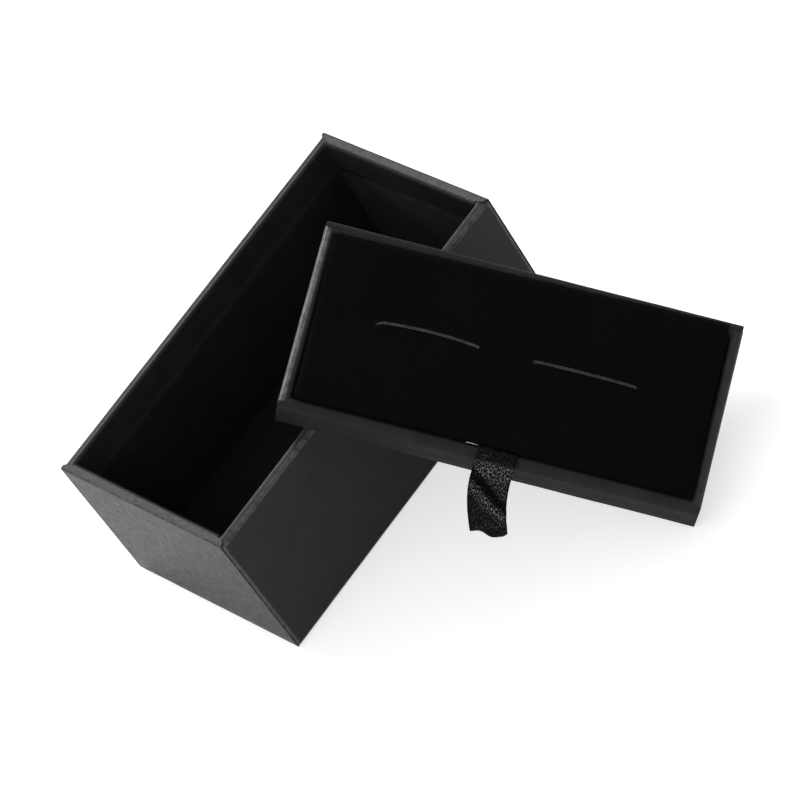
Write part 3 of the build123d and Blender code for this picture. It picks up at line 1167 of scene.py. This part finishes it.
    def build(self) -> None:
        """Build the pad and put it in place of its velvet cover and foam."""
        shape = self.block()
        self.cells(shape)
        self.open_slits(shape)
        shape.cut(2, [self.shoulder_height - 0.6])
        self.paint_lips(shape)
        for vert in shape.bm.verts:
            vert.co = self.swelled(vert.co)
        shape.ripple(0.10, 4.0, 3.1)
        obj = shape.piece(self.name, DRAWER_FRAME, Slot.VELVET)
        obj.data.materials.append(CUT_EDGE_AND_HIGHLIGHT.material())
        add_modifier(obj, "SUBSURF", levels=1, render_levels=1)
        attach(obj, Body.DRAWER.value)
        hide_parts("pad_velvet_cover", "pad_foam")
        self.fringe()


@dataclass
class RibbonPull:
    """One satin ribbon: up between pad and wall, over the rim, out into a loop and back again."""

    name: str = "ribbon_pull"
    width: float = 7.5
    shift: float = 1.6
    thickness: float = 0.2
    across: int = 24
    per_span: int = 8
    wall_face: float = -16.8
    floor: float = 2.0
    rim_top: float = DRAWER_SIZE[2]
    over_wall: tuple = (-17.3, -17.8)
    hinge: tuple = (-17.9, 10.05)
    reach: float = 14.3
    droop: float = math.atan2(6.0, 14.0)
    side_shift: float = 1.85
    side_bow: float = 1.0
    fold_depth: float = 0.85
    fold_at: float = 6.6
    ridge_after: float = 1.9

    def on_loop(self, along: float, above: float) -> tuple:
        """Turn a place on the loop's chord into the drawer's y and z, with how far along it is."""
        cos, sin = math.cos(self.droop), math.sin(self.droop)
        return (self.hinge[0] - along * cos - above * sin, self.hinge[1] - along * sin + above * cos, along)

    def line(self) -> list:
        """Run the ribbon's middle line outward on top and back below.

        Returns:
            The line's (y, z, millimetres along the loop).
        """
        inner, outer = self.wall_face + 0.375, self.wall_face + 0.125
        low, high, end = self.floor + 0.125, self.rim_top + 0.125, self.reach
        top = self.rim_top + 0.375
        near, far = self.over_wall
        out = [(self.wall_face + 9.0, low + 0.25, 0), (inner + 2.0, low + 0.25, 0), (inner, low + 1.5, 0),
               (inner, 7.0, 0), (inner, 9.0, 0), (inner - 0.3, top - 0.1, 0), (near, top, 0),
               (far, top + 0.05, 0)]
        upper = [self.on_loop(end * share, above) for share, above in
                 ((0.07, 0.45), (0.24, 1.1), (0.5, 1.45), (0.76, 1.3), (0.93, 0.8), (1.0, 0.0))]
        lower = [self.on_loop(end * share, above) for share, above in
                 ((0.93, -0.7), (0.76, -0.55), (0.5, -0.45), (0.24, -0.35), (0.07, -0.25))]
        back = [(far, high + 0.05, 0), (near, high, 0), (outer - 0.15, high - 0.05, 0), (outer, 9.0, 0),
                (outer, 7.0, 0), (outer, low + 1.2, 0), (outer + 1.2, low, 0), (self.wall_face + 9.0, low, 0)]
        return smooth_line(out + upper + lower + back, self.per_span)

    def crease(self, along: float, across: float) -> float:
        """Return how far the upper strand lifts or dips off its middle line.

        Args:
            along: millimetres from the rim towards the fold.
            across: millimetres from the ribbon's middle.

        Returns:
            The height in millimetres.
        """
        share = clamped(along / self.reach)
        held = math.sin(math.pi * share) ** 0.7 if 0 < share < 1 else 0.0
        slant = along - self.fold_at - 0.8 * across
        valley = -self.fold_depth * math.exp(-(slant / 1.0) ** 2)
        ridge = 0.75 * self.fold_depth * math.exp(-((slant - self.ridge_after) / 0.8) ** 2)
        curl = -0.35 * (across / (self.width / 2)) ** 2 * math.sin(math.pi * share)
        bumps = 0.16 * noise.noise(Vector((along / 1.6, across / 1.9, 4.2)))
        return held * (valley + ridge + curl + bumps)

    def painted_sheen(self, along: float, across: float, fold: bool) -> float:
        """Return the painted sheen: dark over the rim, in the crease and at the borders, bright at the bend
        and on the ridge, dimmer towards the loop's end.

        Args:
            along: millimetres from the rim towards the fold.
            across: millimetres from the ribbon's middle.
            fold: whether the place is on the upper strand.

        Returns:
            0 for painted shade to about 1 for a painted highlight.
        """
        slant = along - self.fold_at - 0.75 * across
        past_rim, past_fold = clamped((along - 1.1) / 0.8), clamped((slant - 2.8) / 1.2)
        value = (0.05 + 0.80 * past_rim * (1 if along < 4.2 else 0.6)) * (1 - 0.72 * past_fold)
        if fold:
            value -= 0.75 * math.exp(-((slant + 0.3) / 1.2) ** 2)
            value += 0.5 * math.exp(-((slant - self.ridge_after) / 0.45) ** 2)
        value -= 0.3 * max(0.0, abs(across) / (self.width / 2) - 0.8) / 0.2
        return max(0.04, value + 0.22 * noise.noise(Vector((along / 1.3, across / 1.1, 7.0))))

    def bend(self, shape: Shape, line: list, rows: int) -> None:
        """Move a flat grid onto the ribbon's line, skewed, bowed and creased.

        Args:
            shape: the grid, one unit square.
            line: the middle line's points, one for each row of the grid.
            rows: cells along the grid.
        """
        tip = max(range(len(line)), key=lambda i: line[i].z)
        layer = shape.bm.verts.layers.float.new(PAINTED_SHEEN_ATTRIBUTE)
        for vert in shape.bm.verts:
            row = round((vert.co.y + 0.5) * rows)
            place, ahead, behind = line[row], line[min(row + 1, rows)], line[max(row - 1, 0)]
            way = Vector((ahead.x - behind.x, ahead.y - behind.y)).normalized()
            along, on_top = place.z, row <= tip
            share = clamped(along / self.reach)
            across = vert.co.x * self.width * (1 - 0.09 * share ** 3)
            lift = self.crease(along, across) * (-1.0 if on_top else 0.6)
            # painted sheen: bright at the bend and ridge, dark over the rim and in the crease
            vert[layer] = self.painted_sheen(along, across, on_top)
            wave = 0.3 * math.sin(across * 1.35 + 0.6) * share ** 3
            wave -= 0.75 * (max(0.0, across / 3.4 - 0.72) / 0.28) ** 2 * share ** 6
            side = self.side_shift * share - self.side_bow * math.sin(math.pi * share)
            vert.co = Vector((self.shift + across + side, place.x - way.y * lift - wave,
                              place.y + way.x * lift))

    def build(self) -> None:
        """Build the ribbon and put it in place of its tail and loop."""
        line = self.line()
        lengths = [0.0]
        for a, b in zip(line, line[1:]):
            lengths.append(lengths[-1] + (b - a).xy.length)
        shape = Shape()
        rows = len(line) - 1
        bmesh.ops.create_grid(shape.bm, x_segments=self.across, y_segments=rows, size=0.5)
        uv = shape.bm.loops.layers.uv.new("weave")
        for face in shape.bm.faces:
            for loop in face.loops:
                row = round((loop.vert.co.y + 0.5) * rows)
                loop[uv].uv = (loop.vert.co.x * self.width, lengths[row])
        self.bend(shape, line, rows)
        bmesh.ops.recalc_face_normals(shape.bm, faces=shape.bm.faces[:])
        obj = shape.piece(self.name, DRAWER_FRAME, Slot.SATIN)
        add_modifier(obj, "SOLIDIFY", thickness=self.thickness * MM, offset=0.0)
        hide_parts("ribbon_tail", "ribbon_loop")
        DRAWER_FRAME.point(self.shift, -17.3, 10.0)
        DRAWER_FRAME.point(self.shift, -18.6, 10.0)
        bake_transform(obj)
        log.info("%s: %.1f mm long", self.name, lengths[-1])


@dataclass
class SlotLip:
    """The white paper back of the leatherette, curled up where the ribbon's slot was cut."""

    name: str = "slot_paper_lip"
    low_x: float = -4.65
    high_x: float = -2.35
    y: float = -16.42
    z: float = DRAWER_SIZE[2]
    radius: float = 0.12

    def build(self) -> None:
        """Build the curled strip at the slot's left end."""
        half, middle = (self.high_x - self.low_x) / 2, (self.high_x + self.low_x) / 2
        turns = [math.radians(-70 + 20 * i) for i in range(8)]
        rows = [(half, self.y + self.radius * math.sin(turn), self.z + self.radius * (math.cos(turn) - 0.6))
                for turn in turns]
        shape = Shape()
        shape.band(rows, 12)
        for vert in shape.bm.verts:
            vert.co.z += 0.05 * noise.noise(vert.co * 2.0) - 0.1 * (vert.co.x / half) ** 2
            vert.co.x += middle
        obj = shape.piece(self.name, DRAWER_FRAME, Slot.WHITE_BOARD)
        add_modifier(obj, "SOLIDIFY", thickness=0.08 * MM, offset=-1.0)
        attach(obj, Body.DRAWER.value)


CARRIED_OVER = {
    Slot.GREYBOARD: ("case_base_board", "case_wall_left", "case_wall_right", "case_wall_near",
                     "case_wall_far", "drawer_base_board", "drawer_wall_left", "drawer_wall_right",
                     "drawer_wall_back", "pad_backing_card"),
    Slot.WHITE_BOARD: ("drawer_wall_front",),
    Slot.STAY_PAPER: ("case_corner_stays", "drawer_corner_stays"),
    Slot.SHEET_PAPER: ("case_bottom_sheet", "drawer_bottom_sheet"),
}


@dataclass
class BoardsAndPapers:
    """The CAD solids that keep their shape: boards, corner tape, bottom sheets and backing card."""

    names: dict = field(default_factory=lambda: dict(CARRIED_OVER))

    def build(self) -> None:
        """Give each carried-over solid its procedural finish."""
        for slot, names in self.names.items():
            for obj in (frame["nodes"][name] for name in names):
                obj.data.materials.clear()
                obj.data.materials.append(MATERIALS[slot])
        log.info("carried over: %d solids", sum(len(names) for names in self.names.values()))


# ---------------------------------------------------------------- studio


@dataclass
class Studio:
    """The photograph's camera, a pale floor and soft lights."""

    target: tuple = (0.021569, 0.004115, 0.02)
    azimuth: float = 66.41247
    elevation: float = 47.18756
    roll: float = -34.99228
    distance: float = 0.85202
    lens: float = 202.5
    sensor: float = 36.0
    floor_half: float = 3.0
    floor_grey: float = 0.85
    seen_glow: float = 0.54
    mirrored_glow: float = 0.1
    world: float = 0.58
    softboxes: tuple = (  # name, direction from the object, metres away, metres wide, watts
        ("key_softbox", (-0.62, 0.27, 0.73), 0.9, 0.34, 2.5),
        ("front_softbox", (0.3, -0.85, 0.45), 1.2, 1.5, 4.7),
        ("left_softbox", (-0.8, -0.05, 0.6), 0.9, 0.25, 2.4),
    )

    def camera(self) -> None:
        """Create the camera at the photograph's angle."""
        data = bpy.data.cameras.new("photo_camera")
        data.lens, data.sensor_width, data.sensor_fit = self.lens, self.sensor, "HORIZONTAL"
        data.clip_start, data.clip_end = 0.05, 20.0
        obj = placed("photo_camera", data)
        turn = (Matrix.Rotation(math.radians(self.azimuth), 4, "Z")
                @ Matrix.Rotation(math.radians(90.0 - self.elevation), 4, "X")
                @ Matrix.Rotation(math.radians(self.roll), 4, "Z"))
        back = turn @ Vector((0.0, 0.0, self.distance))
        obj.matrix_world = Matrix.Translation(Vector(self.target) + back) @ turn
        bpy.context.scene.camera = obj

    def floor(self) -> None:
        """Lay the pale floor, white to the camera and in reflections, where shadows still show."""
        mesh = bpy.data.meshes.new("floor")
        bm = bmesh.new()
        bmesh.ops.create_grid(bm, x_segments=1, y_segments=1, size=self.floor_half)
        bm.to_mesh(mesh)
        bm.free()
        nodes = NodeTree("pale_floor")
        diffuse = nodes.add("ShaderNodeBsdfDiffuse", Color=(*[self.floor_grey] * 3, 1.0))
        ray = nodes.add("ShaderNodeLightPath").outputs
        mirrored = nodes.math("MAXIMUM", ray["Is Glossy Ray"], ray["Is Transmission Ray"])
        strength = nodes.math("ADD", nodes.mapped(ray["Is Camera Ray"], 0.0, self.seen_glow),
                              nodes.mapped(mirrored, 0.0, self.mirrored_glow))
        glow, total = nodes.add("ShaderNodeEmission"), nodes.add("ShaderNodeAddShader")
        nodes.link(strength, glow.inputs["Strength"])
        nodes.link(diffuse.outputs[0], total.inputs[0])
        nodes.link(glow.outputs[0], total.inputs[1])
        nodes.link(total.outputs[0], nodes.output.inputs["Surface"])
        nodes.tree.nodes.remove(nodes.shader)
        mesh.materials.append(nodes.material)
        obj = placed("floor", mesh)

    def softbox(self, name: str, direction: tuple, distance: float, size: float, power: float) -> None:
        """Hang a square softbox that looks at the object.

        Args:
            name: the light's name.
            direction: from the object towards the light.
            distance: metres from the target.
            size: metres along a side.
            power: watts.
        """
        data = bpy.data.lights.new(name, "AREA")
        data.shape, data.size, data.energy = "SQUARE", size, power
        obj = placed(name, data)
        way = Vector(direction).normalized()
        turn = way.to_track_quat("Z", "Y").to_matrix().to_4x4()
        obj.matrix_world = Matrix.Translation(Vector(self.target) + way * distance) @ turn

    def build(self) -> None:
        """Set up the whole studio."""
        self.camera()
        self.floor()
        for row in self.softboxes:
            self.softbox(*row)
        world = bpy.data.worlds.new("studio_world")
        world.use_nodes = True
        background = world.node_tree.nodes["Background"]
        background.inputs["Color"].default_value = (1.0, 1.0, 1.0, 1.0)
        background.inputs["Strength"].default_value = self.world
        bpy.context.scene.world = world
        bpy.context.scene.view_settings.view_transform = "Standard"
        log.info("studio: camera, floor and lights")


def main() -> None:
    """Build the object's sub-assemblies and the studio in order."""
    logging.basicConfig(level=logging.INFO, format="%(name)s: %(message)s")
    for slot, finish in FINISHES.items():
        MATERIALS[slot] = finish.material()
    WrappedShell("case_leatherette", "case_wrap", Body.CASE, CASE_FRAME, CASE_SIZE,
                 rim=2.1, turn_in=11.0, turn_under=9.0, cell=3.0, seed=1.7,
                 rim_fall=0.35, inner_radius=0.7).build()
    FlockLining().build()
    WrappedShell("drawer_leatherette", "drawer_wrap", Body.DRAWER, DRAWER_FRAME, DRAWER_SIZE,
                 rim=2.3, turn_in=5.0, turn_under=7.0, cell=3.0, seed=5.3, ripple=0.05,
                 edge_radius=1.1, inner_radius=1.0, cover_radius=1.1,
                 # edges painted pale: little rubbed wear, and a strong painted highlight along the left edge
                 wear_and_highlight=0.12, left_wear_and_highlight=1.0, matt_covers=True,
                 slot_low=(-4.45, -17.0, 8.7), slot_high=(5.55, -16.3, 9.7)).build()
    VelvetPad().build()
    RibbonPull().build()
    SlotLip().build()
    BoardsAndPapers().build()
    Studio().build()


if __name__ == "__main__":
    main()
